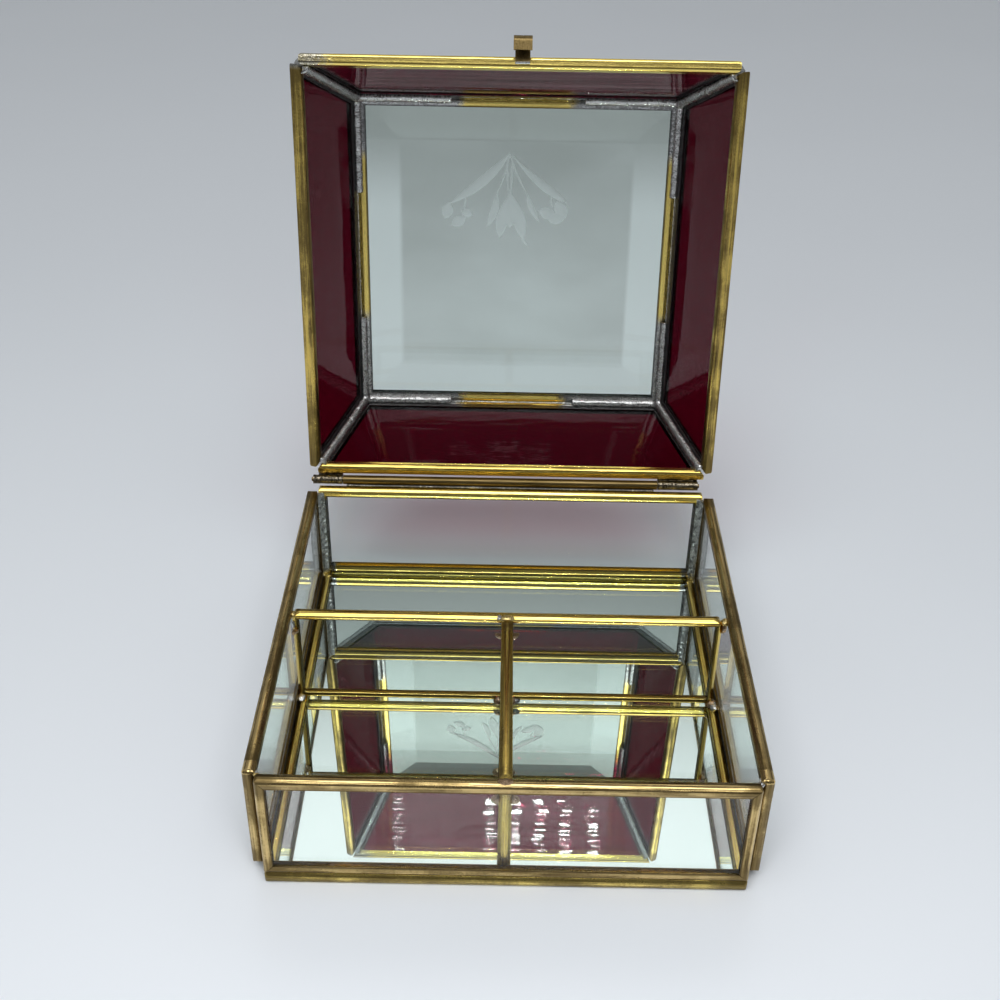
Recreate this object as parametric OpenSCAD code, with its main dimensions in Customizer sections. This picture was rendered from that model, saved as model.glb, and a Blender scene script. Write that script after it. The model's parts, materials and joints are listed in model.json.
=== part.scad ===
// Square glass casket with a hinged, mansard-shaped lid.
// Every pane is wrapped in folded brass channel, and the panes are soldered edge to edge.
// Origin: centre of the underside, +Z up, front towards -Y. Millimetres.

/* [Case] */
// Width of the front and back panes over their channel
case_w = 144.6; // [110:0.1:180]
// Depth of the case, over the front and back panes
case_d = 152.4; // [120:0.1:190]
// Height of the rim above the surface that the case stands on
rim_h = 42.4; // [34:0.1:70]
// Corner bend of the channel round the floor and the walls
wall_bend_r = 1.3; // [1:0.1:2.5]

/* [Panes] */
// Thickness of the wall, divider and lid panes
glass_t = 3; // [2:0.1:4]
// Thickness of the reflecting coat and its paint under the mirror
backing_t = 0.15; // [0.1:0.05:0.4]
// Gap between the edge of a pane and the channel's web
edge_play = 0.4; // [0.2:0.05:0.6]
// Gap between the face of a pane and each leg of its channel
face_play = 0.05; // [0.02:0.01:0.15]

/* [Brass channel] */
// Thickness of the folded brass strip
strip_t = 0.4; // [0.3:0.05:0.6]
// Reach of each leg over the face of a wall or lid pane
leg = 3.1; // [2.2:0.1:4.5]
// Rounding along the folded edges
fold_r = 1.15; // [0.5:0.05:1.3]
// Width of the slit where two legs meet at a corner
mitre_slit = 0.14; // [0.05:0.01:0.3]

/* [Dividers] */
// How far the dividers' top lies below the rim
divider_drop = 1.8; // [1:0.1:6]
// Middle of the cross divider behind the middle of the case
cross_y = 2.6; // [-25:0.1:25]
// Middle of the front divider to the right of the middle of the case
centre_x = -0.7; // [-25:0.1:25]
// Reach of each leg over the face of a divider
divider_leg = 2; // [1.6:0.1:4]
// Corner bend of the channel round a divider
divider_bend_r = 3; // [2:0.1:5]
// Running gap between a divider and the panes it stands between
divider_play = 0.1; // [0.05:0.05:0.3]
// How much further the cross divider stops short of the right pane
cross_short = 1.5; // [0.5:0.1:2.5]

/* [Lid] */
// How far the lid is open at rest
lid_open = 98; // [0:1:105]
// How far the lid's inner edge overlaps the rim on each side
rim_seat = 0.3; // [0.1:0.1:1]
// Gap between the closed lid and the rim
lid_gap = 0.3; // [0.1:0.05:0.6]
// Rise of the sloping panes, inside
lid_rise = 32; // [20:0.5:50]
// How far the sloping panes lean in
lid_inset = 15; // [8:0.5:25]
// Thickness of the middle of the bevelled pane
bevel_glass_t = 5; // [4:0.1:6]
// Width of the bevel
bevel_w = 14; // [8:0.5:20]
// Thickness of the bevelled pane at its edge
bevel_edge_t = 2.5; // [1.5:0.1:2.5]

/* [Hinge] */
// Outer diameter of the hinge tubes
tube_d = 3.4; // [3:0.1:5]
// Diameter of the hinge wire
pin_d = 1.6; // [1:0.1:2]
// Radial clearance between the wire and the tube that turns on it
pin_clear = 0.06; // [0.03:0.01:0.1]
// Radial clearance between the wire and the knuckles it is fixed in
pin_seat = 0.03; // [0.02:0.01:0.05]
// Height of the hinge line above the rim
hinge_rise = 1.2; // [0.8:0.1:2]
// How far the left knuckle stands past the left edge of the back pane
left_over = 2.2; // [0:0.1:3]
// How far the right knuckle stops short of the right edge of the back pane
right_short = 1.8; // [0:0.1:4]
// Length of the left knuckle
left_knuckle_l = 11; // [6:0.5:12]
// Length of the right knuckle
right_knuckle_l = 15; // [6:0.5:16]
// Gap between the long tube and each knuckle
tube_gap = 0.3; // [0.1:0.05:0.6]
// Length of wire beyond each knuckle
pin_end = 0.6; // [0.2:0.1:1.5]

/* [Lift tab] */
// Middle of the tab to the right of the middle of the lid
tab_x = 0.9; // [-10:0.1:10]
// Width of the rolled end
tab_w = 6.1; // [4:0.1:10]
// Width of the stem
tab_stem_w = 4.9; // [3:0.1:8]
// Thickness of the strip
tab_t = 0.5; // [0.3:0.05:0.8]
// Outer radius of the roll
tab_roll_r = 2.3; // [1.5:0.1:3]
// Reach of the roll's middle from the inside of the lid's front pane
tab_reach = 7.5; // [6.5:0.1:10]
// Length of the strip below the roll
tab_tail = 3; // [0.5:0.1:3.2]
// Depth of the crease down the middle of the roll
tab_crease = 0.15; // [0.05:0.05:0.25]

/* [Solder] */
// Size of the seams inside the case's upright corners
corner_seam = 2.4; // [1.6:0.1:3.2]
// Size of the seams under the side panes
side_seam = 2.2; // [1.6:0.1:3]
// Radius of the rounded seams inside the lid
lid_seam_r = 2.1; // [1.5:0.1:3]
// Length of the inside seams along the top pane, from each corner
top_seam_l = 34; // [10:1:45]
// How far up the hips the outside seams begin
seam_foot = 3; // [1:0.5:10]
// How far the outside seams stand over the lid's edges
seam_dome = 0.8; // [0.5:0.1:1.2]
// Radius of the beads that hold the dividers
bead_r = 2.3; // [1.6:0.1:2.6]
// Gap left round a seam
seam_gap = 0.03; // [0.01:0.01:0.1]

/* [Hidden] */

// Outer thickness of every channel
channel_t = glass_t + 2 * (strip_t + face_play);
// Inside bend of the folds: the strip's own, or the largest that clears the square edges of the pane
bend_in = min(fold_r - strip_t, 0.97 * (edge_play + face_play + sqrt(2 * edge_play * face_play)));
floor_z = channel_t;
wall_h = rim_h - floor_z;
side_l = case_d - 2 * channel_t;
inner_front = -case_d / 2 + channel_t;
inner_back = case_d / 2 - channel_t;
divider_top = rim_h - divider_drop;
divider_h = divider_top - floor_z;
cross_w = case_w - 2 * divider_play - cross_short;
cross_right = case_w / 2 - divider_play - cross_short;
cross_front = cross_y - channel_t / 2;
centre_l = cross_front - inner_front - 2 * divider_play;
lid_x = case_w + 2 * rim_seat;
lid_y = side_l + 2 * rim_seat;
lid_z = rim_h + lid_gap;
top_x = lid_x - 2 * lid_inset;
top_y = lid_y - 2 * lid_inset;
// Foot and head widths of the lid's sides: front and back, then right and left
foot_w = [lid_x, lid_y];
head_w = [top_x, top_y];
slope = atan2(lid_rise, lid_inset);
slant = norm([lid_rise, lid_inset]);
hinge_y = case_d / 2 + tube_d / 2;
hinge_z = rim_h + hinge_rise;
hinge_left = -case_w / 2 - left_over;
hinge_right = case_w / 2 - right_short;
tube_left = hinge_left + left_knuckle_l + tube_gap;
tube_right = hinge_right - right_knuckle_l - tube_gap;
// Lean of a hip from upright, and its length
hip_tilt = atan2(norm([lid_inset, lid_inset]), lid_rise);
hip_l = norm([lid_inset, lid_inset, lid_rise]);
brass = [0.72, 0.58, 0.28];
bright_brass = [0.86, 0.72, 0.36];
solder = [0.62, 0.62, 0.62];
clear_glass = [0.72, 0.84, 0.82, 0.35];
red_glass = [0.34, 0.02, 0.08, 0.8];
round_fn = 64;
far = 400;
sides = [-1, 1];
// Size of the blobs where seams meet, over the seams themselves
blob = 1.12;
// Middle of the hollow in the corner seams, over their size
hollow = 1.12;
// Size of the inside seams round the top pane, over the ones up the hips
top_seam = 0.9;

// --- pane and channel forms, drawn with x along, y up and z outwards from the inner face ---

// Outline of a pane: w wide at its foot, top_w at its head and h high, drawn in by e all round
function outline(w, top_w, h, e = 0) =
    let (
        run = (w - top_w) / 2,
        side = e / cos(atan2(run, h)),
        foot = w / 2 - run * e / h - side,
        head = top_w / 2 + run * e / h - side
    )
    [[-foot, e], [foot, e], [head, h - e], [-head, h - e]];

// Section of a channel's web, drawn in by e, with its folded edges bent to r, and open to the right
module web_profile(reach, e, r) {
    translate([e + r, e]) square([reach - e - r, channel_t - 2 * e]);
    translate([e, e + r]) square([reach - e, channel_t - 2 * (e + r)]);
    for (y = [e + r, channel_t - e - r])
        translate([e + r, y]) circle(r, $fn = round_fn);
}

// Everything on the inner side of the edge from a to b, with that edge rounded
module edge_slab(a, b, e, r) {
    d = b - a;
    translate([a[0], a[1], 0])
        rotate([0, 0, atan2(d[1], d[0])])
            translate([-far / 2, 0, 0])
                rotate([90, 0, 90]) linear_extrude(far) web_profile(far, e, r);
}

// A pane of four straight edges over its channel, or the room inside it where e is the strip's thickness
module straight_blank(w, top_w, h, e = 0, r = fold_r) {
    pts = outline(w, top_w, h);
    intersection_for (i = [0:3])
        edge_slab(pts[i], pts[(i + 1) % 4], e, r);
}

// A rectangle with round corners
module round_rect(w, h, r) {
    translate([-w / 2 + r, 0]) square([w - 2 * r, h]);
    translate([-w / 2, r]) square([w, h - 2 * r]);
    for (x = sides, y = [r, h - r])
        translate([x * (w / 2 - r), y]) circle(r, $fn = round_fn);
}

// A rectangular pane over its channel, or the room inside it, with corners bent to corner_r
module bent_blank(w, h, corner_r, e = 0, r = fold_r) {
    intersection() {
        straight_blank(w, w, h, e, r);
        translate([0, e, 0])
            linear_extrude(channel_t) round_rect(w - 2 * e, h - 2 * e, corner_r - e);
    }
}

// Slits where the folded legs meet on the diagonals of both faces, from just inside the folds
module mitre_slits(w, top_w, h, reach) {
    outer = outline(w, top_w, h, fold_r + mitre_slit);
    inner = outline(w, top_w, h, reach + 1);
    for (i = [0:3], z = [-1, channel_t - strip_t - face_play]) {
        d = inner[i] - outer[i];
        translate([outer[i][0], outer[i][1], z])
            rotate([0, 0, atan2(d[1], d[0])])
                translate([0, -mitre_slit / 2, 0])
                    cube([norm(d), mitre_slit, strip_t + face_play + 1]);
    }
}

// Brass channel round a rectangular pane
module bent_channel(w, h, r, reach) {
    difference() {
        bent_blank(w, h, r);
        bent_blank(w, h, r, strip_t, bend_in);
        translate([0, 0, -1])
            linear_extrude(channel_t + 2) polygon(outline(w, w, h, reach));
        mitre_slits(w, w, h, reach);
    }
}

// The pane that the channel holds
module bent_pane(w, h, r, t = glass_t) {
    e = strip_t + edge_play;
    translate([0, e, strip_t + face_play])
        linear_extrude(t) round_rect(w - 2 * e, h - 2 * e, r - strip_t);
}

// Brass channel round a sloping lid pane, w wide at its foot and top_w at its head
module slope_channel(w, top_w) {
    difference() {
        straight_blank(w, top_w, slant);
        straight_blank(w, top_w, slant, strip_t, bend_in);
        translate([0, 0, -1])
            linear_extrude(channel_t + 2) polygon(outline(w, top_w, slant, leg));
        mitre_slits(w, top_w, slant, leg);
    }
}

module slope_pane(w, top_w) {
    translate([0, 0, strip_t + face_play])
        linear_extrude(glass_t) polygon(outline(w, top_w, slant, strip_t + edge_play));
}

// --- places ---

module on_front() {
    translate([0, inner_front, floor_z]) rotate([90, 0, 0]) children();
}

module on_back() {
    translate([0, inner_back, floor_z]) rotate([90, 0, 180]) children();
}

module on_left() {
    translate([-case_w / 2, 0, floor_z]) rotate([90, 0, -90]) children();
}

module on_right() {
    translate([case_w / 2, 0, floor_z]) rotate([90, 0, 90]) children();
}

// The cross divider stands between the side panes, its front face towards -Y
module on_cross() {
    translate([-cross_short / 2, cross_y + channel_t / 2, floor_z]) rotate([90, 0, 0]) children();
}

// The front divider stands between the front pane and the cross divider
module on_centre() {
    translate([centre_x - channel_t / 2, (inner_front + cross_front) / 2, floor_z])
        rotate([90, 0, 90]) children();
}

// Lid parts are drawn closed, round the middle of the lid's lower edge, and swung open here
module on_lid() {
    translate([0, hinge_y, hinge_z])
        rotate([-lid_open, 0, 0])
            translate([0, -hinge_y, lid_z - hinge_z]) children();
}

// Turns to one side of the lid: 0 front, 1 right, 2 back, 3 left
module slope_frame(side) {
    rotate([0, 0, 90 * side])
        translate([0, -foot_w[1 - side % 2] / 2, 0]) rotate([slope, 0, 0]) children();
}

module on_slope(side) {
    on_lid() slope_frame(side) children();
}

// --- case ---

module mirror_glass() {
    color(clear_glass)
        translate([0, -case_d / 2, backing_t]) bent_pane(case_w, case_d, wall_bend_r, glass_t - backing_t);
}

module mirror_backing() {
    color("dimgray")
        translate([0, -case_d / 2, 0]) bent_pane(case_w, case_d, wall_bend_r, backing_t);
}

module floor_channel() {
    color(brass) translate([0, -case_d / 2, 0]) bent_channel(case_w, case_d, wall_bend_r, leg);
}

module front_glass() {
    color(clear_glass) on_front() bent_pane(case_w, wall_h, wall_bend_r);
}

module front_channel() {
    color(brass) on_front() bent_channel(case_w, wall_h, wall_bend_r, leg);
}

module back_glass() {
    color(clear_glass) on_back() bent_pane(case_w, wall_h, wall_bend_r);
}

module back_channel() {
    color(brass) on_back() bent_channel(case_w, wall_h, wall_bend_r, leg);
}

module left_glass() {
    color(clear_glass) on_left() bent_pane(side_l, wall_h, wall_bend_r);
}

module left_channel() {
    color(brass) on_left() bent_channel(side_l, wall_h, wall_bend_r, leg);
}

module right_glass() {
    color(clear_glass) on_right() bent_pane(side_l, wall_h, wall_bend_r);
}

module right_channel() {
    color(brass) on_right() bent_channel(side_l, wall_h, wall_bend_r, leg);
}

module cross_divider_glass() {
    color(clear_glass) on_cross() bent_pane(cross_w, divider_h, divider_bend_r);
}

module cross_divider_channel() {
    color(bright_brass) on_cross() bent_channel(cross_w, divider_h, divider_bend_r, divider_leg);
}

module centre_divider_glass() {
    color(clear_glass) on_centre() bent_pane(centre_l, divider_h, divider_bend_r);
}

module centre_divider_channel() {
    color(bright_brass) on_centre() bent_channel(centre_l, divider_h, divider_bend_r, divider_leg);
}

// Hollow-faced seams up the four inside corners
module corner_seams() {
    color(solder)
        for (x = sides, y = [[inner_front, 1], [inner_back, -1]])
            translate([x * (case_w / 2 - seam_gap), y[0] + y[1] * seam_gap, floor_z + seam_gap])
                mirror([x > 0 ? 1 : 0, 0, 0]) mirror([0, y[1] < 0 ? 1 : 0, 0])
                    linear_extrude(wall_h - fold_r)
                        difference() {
                            square(corner_seam);
                            translate([corner_seam, corner_seam] * hollow)
                                circle(corner_seam, $fn = round_fn);
                        }
}

// Seams in the step under each side pane
module side_seams() {
    color(solder)
        for (x = sides)
            mirror([x < 0 ? 1 : 0, 0, 0])
                translate([case_w / 2 + seam_gap, side_l / 2 - wall_bend_r, floor_z - seam_gap])
                    rotate([90, 0, 0])
                        linear_extrude(side_l - 2 * wall_bend_r)
                            polygon([[0, 0], [side_seam, 0], [0, -side_seam]]);
}

// A ball round the origin, cut off by a box
module cut_bead(low, high) {
    intersection() {
        sphere(bead_r, $fn = round_fn);
        translate(low) cube(high - low);
    }
}

// One eighth of a ball, in the corner where three faces meet
module corner_bead(dir) {
    low = [for (d = dir) d > 0 ? seam_gap : -far];
    high = [for (d = dir) d > 0 ? far : -seam_gap];
    cut_bead(low, high);
}

// Beads at the ends of both dividers, and a drop that fills the space right of the cross divider
module divider_beads() {
    upper = divider_top - 2 * divider_bend_r;
    space = case_w / 2 - cross_right;
    color(solder) {
        translate([-case_w / 2, cross_front, upper]) corner_bead([1, -1, -1]);
        translate([cross_right, cross_y, divider_top - 1.1 * divider_bend_r])
            cut_bead([seam_gap, -far, -far], [space - seam_gap, far, far]);
        translate([cross_right, cross_front, floor_z])
            cut_bead([-far, -far, seam_gap], [space - seam_gap, -seam_gap, far]);
        for (x = sides) {
            face = centre_x + x * channel_t / 2;
            translate([face, cross_front, floor_z]) corner_bead([x, -1, 1]);
            translate([face, inner_front, upper]) corner_bead([x, 1, -1]);
            translate([face, cross_front, upper]) corner_bead([x, -1, -1]);
        }
    }
}

module tube(l, bore) {
    rotate([0, 90, 0])
        difference() {
            cylinder(h = l, d = tube_d, $fn = round_fn);
            translate([0, 0, -1]) cylinder(h = l + 2, d = bore, $fn = round_fn);
        }
}

module hinge_tube() {
    color(brass)
        translate([tube_left, hinge_y, hinge_z])
            tube(tube_right - tube_left, pin_d + 2 * pin_clear);
}

// Solder between the long tube and the back pane's channel, from the middle of the tube.
// It fills the wedge below the line from there to the middle of the channel's fold.
module hinge_fillet() {
    reach = tube_d / 2;
    fold = [-reach - fold_r, -hinge_rise - fold_r];
    toe = [fold[0], -1.3 * tube_d];
    color(solder)
        translate([tube_left + fold_r, hinge_y, hinge_z])
            rotate([90, 0, 90])
                linear_extrude(tube_right - tube_left - 2 * fold_r)
                    difference() {
                        polygon([fold, [0, 0], [0, -reach - 2 * seam_gap], [-reach / 2, -tube_d], toe]);
                        circle(reach + seam_gap, $fn = round_fn);
                        translate(fold) circle(fold_r + seam_gap, $fn = round_fn);
                        translate([fold[0] - 1, fold[1] - far]) square([fold_r + 1 + seam_gap, far]);
                    }
}

// --- lid ---

module lid_front_glass() {
    color(red_glass) on_slope(0) slope_pane(lid_x, top_x);
}

module lid_front_channel() {
    color(brass) on_slope(0) slope_channel(lid_x, top_x);
}

module lid_right_glass() {
    color(red_glass) on_slope(1) slope_pane(lid_y, top_y);
}

module lid_right_channel() {
    color(brass) on_slope(1) slope_channel(lid_y, top_y);
}

module lid_back_glass() {
    color(red_glass) on_slope(2) slope_pane(lid_x, top_x);
}

module lid_back_channel() {
    color(brass) on_slope(2) slope_channel(lid_x, top_x);
}

module lid_left_glass() {
    color(red_glass) on_slope(3) slope_pane(lid_y, top_y);
}

module lid_left_channel() {
    color(brass) on_slope(3) slope_channel(lid_y, top_y);
}

// The thick pane on top, bevelled on its outer face
module lid_top_glass() {
    e = strip_t + edge_play;
    size = [top_x - 2 * e, top_y - 2 * e];
    color(clear_glass)
        on_lid() translate([0, 0, lid_rise + strip_t + face_play])
            intersection_for (k = [0, 1])
                rotate([90, 0, 90 * k]) translate([0, 0, -size[1 - k] / 2])
                    linear_extrude(size[1 - k]) bevel_profile(size[k]);
}

module bevel_profile(w) {
    flat = w / 2 - bevel_w;
    polygon([[-w / 2, 0], [w / 2, 0], [w / 2, bevel_edge_t], [flat, bevel_glass_t],
             [-flat, bevel_glass_t], [-w / 2, bevel_edge_t]]);
}

module lid_top_channel() {
    color(brass)
        on_lid() translate([0, -top_y / 2, lid_rise]) bent_channel(top_x, top_y, wall_bend_r, leg);
}

module hinge_pin() {
    color(brass)
        translate([hinge_left - pin_end, hinge_y, hinge_z])
            rotate([0, 90, 0])
                cylinder(h = hinge_right - hinge_left + 2 * pin_end, d = pin_d, $fn = round_fn);
}

module left_knuckle() {
    color(brass)
        translate([hinge_left, hinge_y, hinge_z]) tube(left_knuckle_l, pin_d + 2 * pin_seat);
}

module right_knuckle() {
    color(brass)
        translate([hinge_right - right_knuckle_l, hinge_y, hinge_z])
            tube(right_knuckle_l, pin_d + 2 * pin_seat);
}

// Solder that fills the wedge between each knuckle and the back of the lid
module knuckle_solder() {
    color(solder)
        on_lid()
            for (span = [[hinge_left, left_knuckle_l], [hinge_right - right_knuckle_l, right_knuckle_l]])
                intersection() {
                    translate([span[0], 0, hinge_z - lid_z])
                        rotate([90, 0, 90]) linear_extrude(span[1]) translate([hinge_y, 0]) knuckle_wedge();
                    translate([-lid_x / 2, 0, 0]) cube([lid_x, far, far]);
                }
}

// Section of the wedge, from the middle of the wire, with the closed lid's outer face on its left.
// It runs up that face and over the top of the knuckle, and its other points lie in the knuckle.
module knuckle_wedge() {
    r = tube_d / 2 + seam_gap;
    up = [-cos(slope), sin(slope)];
    edge = [lid_y / 2 + channel_t * sin(slope) - hinge_y, lid_z + channel_t * cos(slope) - hinge_z];
    face = edge + [seam_gap, 0];
    crest = r * [0.3, 1.15];
    inside = r * [[0.2, 0.5], [-0.6, 0.3]];
    difference() {
        polygon([face + fold_r * up, face + tube_d * up, crest, inside[0], inside[1]]);
        circle(r, $fn = round_fn);
    }
}

// The room inside the lid's panes, drawn in by e all round
module lid_room(e) {
    side = e / sin(slope);
    foot = -channel_t;
    cut = foot / tan(slope);
    head = lid_rise - e;
    for_x = lid_x / 2 - side;
    for_y = lid_y / 2 - side;
    lean = head / tan(slope);
    intersection() {
        translate([0, far / 2, 0]) rotate([90, 0, 0]) linear_extrude(far)
            polygon([[cut - for_x, foot], [for_x - cut, foot], [for_x - lean, head], [lean - for_x, head]]);
        translate([-far / 2, 0, 0]) rotate([90, 0, 90]) linear_extrude(far)
            polygon([[cut - for_y, foot], [for_y - cut, foot], [for_y - lean, head], [lean - for_y, head]]);
    }
}

// The space that the panes of the lid take up over their channel, carried on below their feet
module lid_panes() {
    below = 2 * channel_t;
    spread = 2 * lid_inset * below / slant;
    for (side = [0:3])
        slope_frame(side)
            translate([0, -below, 0])
                linear_extrude(channel_t)
                    polygon(outline(foot_w[side % 2] + spread, head_w[side % 2], slant + below));
    translate([-top_x / 2, -top_y / 2, lid_rise]) cube([top_x, top_y, channel_t]);
}

// Rods along the hips of the lid, from foot_gap up. shift moves each out from its edge line.
module hip_rods(r, shift, foot_gap) {
    for (x = sides, y = sides)
        mirror([x > 0 ? 1 : 0, 0, 0]) mirror([0, y > 0 ? 1 : 0, 0])
            translate([-lid_x / 2, -lid_y / 2, 0])
                rotate([0, hip_tilt, 45])
                    translate([-shift, 0, foot_gap]) {
                        cylinder(h = hip_l - foot_gap, r = r, $fn = round_fn);
                        translate([0, 0, hip_l - foot_gap]) sphere(r * blob, $fn = round_fn);
                    }
}

// Rods round the top of the lid, from each corner. l holds the lengths for the two pairs of sides.
module top_rods(r, shift, l) {
    out = shift * [sin(slope / 2), cos(slope / 2)];
    for (side = [0:3], x = sides)
        rotate([0, 0, 90 * side])
            mirror([x > 0 ? 1 : 0, 0, 0])
                translate([-head_w[side % 2] / 2, -head_w[1 - side % 2] / 2 - out[0], lid_rise + out[1]])
                    rotate([0, 90, 0]) cylinder(h = l[side % 2], r = r, $fn = round_fn);
}

// Seams that fill the grooves between the panes, outside
module lid_outer_seams() {
    shift = seam_dome;
    hip_gap = acos(pow(cos(slope), 2)) / 2;
    hip_r = norm([channel_t * cos(hip_gap) - shift, channel_t * sin(hip_gap)]) - 2 * seam_gap;
    top_r = norm([channel_t * cos(slope / 2) - shift, channel_t * sin(slope / 2)]) - 2 * seam_gap;
    room = 5 * seam_gap;
    color(solder)
        on_lid()
            difference() {
                union() {
                    hip_rods(hip_r, shift, seam_foot);
                    top_rods(top_r, shift, head_w / 2 + [1, 1]);
                }
                lid_panes();
                lid_room(-room);
            }
}

// Rounded seams along the hips and in the corners under the top pane, inside
module lid_inner_seams() {
    color(solder)
        on_lid()
            intersection() {
                union() {
                    hip_rods(lid_seam_r, -lid_seam_r / 4, lid_seam_r);
                    top_rods(lid_seam_r * top_seam, 0, [top_seam_l, top_seam_l]);
                }
                lid_room(seam_gap);
            }
}

// A rolled strip of brass on the front edge of the lid, drawn in the frame of the front pane
module lift_tab() {
    roll_start = tab_reach - 1;
    color(brass)
        on_slope(0)
            difference() {
                union() {
                    tab_strip(tab_w) {
                        translate([-tab_t, roll_start]) square([tab_t, tab_reach - roll_start]);
                        tab_roll();
                    }
                    tab_strip(tab_stem_w)
                        translate([-tab_t, channel_t / 2]) square([tab_t, roll_start - channel_t / 2]);
                }
                tab_strip(2 * tab_crease)
                    translate([-tab_roll_r, tab_reach])
                        difference() {
                            circle(tab_roll_r + 1, $fn = round_fn);
                            circle(tab_roll_r - tab_crease, $fn = round_fn);
                            translate([-far / 2, -far]) square(far);
                        }
            }
}

// Extrudes a side view of the tab across a width
module tab_strip(w) {
    translate([tab_x - w / 2, -seam_gap, 0])
        rotate([90, 0, 90]) linear_extrude(w) children();
}

// Side view of the roll and its tail
module tab_roll() {
    translate([-tab_roll_r, tab_reach])
        difference() {
            circle(tab_roll_r, $fn = round_fn);
            circle(tab_roll_r - tab_t, $fn = round_fn);
            translate([-far / 2, -far]) square(far);
        }
    translate([-2 * tab_roll_r, tab_reach - tab_tail]) square([tab_t, tab_tail]);
}

// Bead at the root of the tab
module tab_solder() {
    root = channel_t / 2 - seam_gap;
    bead = 1.4 * tab_t;
    color(solder)
        on_slope(0)
            tab_strip(tab_stem_w)
                intersection() {
                    translate([0, root]) circle(bead, $fn = round_fn);
                    translate([-far, root - far]) square(far);
                }
}

mirror_glass();
mirror_backing();
floor_channel();
front_glass();
front_channel();
back_glass();
back_channel();
left_glass();
left_channel();
right_glass();
right_channel();
cross_divider_glass();
cross_divider_channel();
centre_divider_glass();
centre_divider_channel();
corner_seams();
side_seams();
divider_beads();
hinge_tube();
hinge_fillet();
lid_front_glass();
lid_front_channel();
lid_back_glass();
lid_back_channel();
lid_left_glass();
lid_left_channel();
lid_right_glass();
lid_right_channel();
lid_top_glass();
lid_top_channel();
lid_outer_seams();
lid_inner_seams();
hinge_pin();
left_knuckle();
right_knuckle();
knuckle_solder();
lift_tab();
tab_solder();
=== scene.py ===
"""Looks of a square glass casket: folded brass channel, soldered seams, ruby panes, a mirror floor."""
import json
import math

import bmesh
import bpy
import numpy as np
from mathutils import Matrix, Vector, noise


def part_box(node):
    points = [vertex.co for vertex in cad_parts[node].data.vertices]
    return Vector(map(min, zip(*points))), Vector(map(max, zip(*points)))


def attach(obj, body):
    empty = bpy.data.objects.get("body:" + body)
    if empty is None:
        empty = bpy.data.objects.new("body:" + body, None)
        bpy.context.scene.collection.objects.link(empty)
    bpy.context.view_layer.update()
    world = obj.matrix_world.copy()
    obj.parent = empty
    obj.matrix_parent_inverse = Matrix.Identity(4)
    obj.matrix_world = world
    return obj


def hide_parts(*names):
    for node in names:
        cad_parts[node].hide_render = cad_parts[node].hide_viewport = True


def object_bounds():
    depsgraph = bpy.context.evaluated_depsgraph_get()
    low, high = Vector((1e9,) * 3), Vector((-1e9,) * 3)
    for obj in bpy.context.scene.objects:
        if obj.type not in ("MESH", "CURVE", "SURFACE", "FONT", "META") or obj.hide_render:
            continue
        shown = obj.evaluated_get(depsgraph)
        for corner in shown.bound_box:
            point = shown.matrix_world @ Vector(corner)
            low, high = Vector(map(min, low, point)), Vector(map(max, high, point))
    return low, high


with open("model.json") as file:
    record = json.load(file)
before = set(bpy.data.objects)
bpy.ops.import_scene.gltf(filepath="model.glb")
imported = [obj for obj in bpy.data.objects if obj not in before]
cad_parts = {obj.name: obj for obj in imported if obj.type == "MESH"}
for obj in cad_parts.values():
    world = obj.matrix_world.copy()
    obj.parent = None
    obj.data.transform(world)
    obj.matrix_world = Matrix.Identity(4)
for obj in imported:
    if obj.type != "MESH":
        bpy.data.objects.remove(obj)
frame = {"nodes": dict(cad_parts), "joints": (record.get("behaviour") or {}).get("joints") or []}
cad_low, cad_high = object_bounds()
cad_box = [list(cad_low), list(cad_high)]

MM = 0.001
nodes = frame["nodes"]
hinge = frame["joints"][0]
HINGE_POINT = Vector(hinge["pos_m"])
LID_OPEN = math.radians(max(hinge["range_deg"]))

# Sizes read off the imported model
MIRROR_LOW, MIRROR_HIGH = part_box("mirror_glass")
RIM_LOW, RIM_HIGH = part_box("front_channel")
CROSS_LOW, CROSS_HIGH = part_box("cross_divider_channel")
MIDDLE_LOW, MIDDLE_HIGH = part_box("centre_divider_channel")
CHANNEL_T = RIM_HIGH.y - RIM_LOW.y
CASE_Y = -RIM_LOW.y
INSIDE_X = RIM_HIGH.x
RIM_Z = RIM_HIGH.z

# The gap between the rim and the underside of the closed lid
LID_GAP = 0.3 * MM
LID_Z = RIM_Z + LID_GAP

# Lid pieces are made closed, from the middle of the lid's open underside, and swung open by this
SWING = (Matrix.Translation(HINGE_POINT) @ Matrix.Rotation(-LID_OPEN, 4, "X")
         @ Matrix.Translation(Vector((0, 0, LID_Z)) - HINGE_POINT))


def closed_box(name):
    """Lowest and highest corners of a node of the lid, closed."""
    back = SWING.inverted()
    places = [back @ vertex.co for vertex in nodes[name].data.vertices]
    return [Vector(pick(place[i] for place in places) for i in range(3)) for pick in (min, max)]


LID_FRONT = closed_box("lid_front_channel")[0].y
LID_RISE = closed_box("lid_top_channel")[0].z


# --- shader sums ---------------------------------------------------------------------------------

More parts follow.
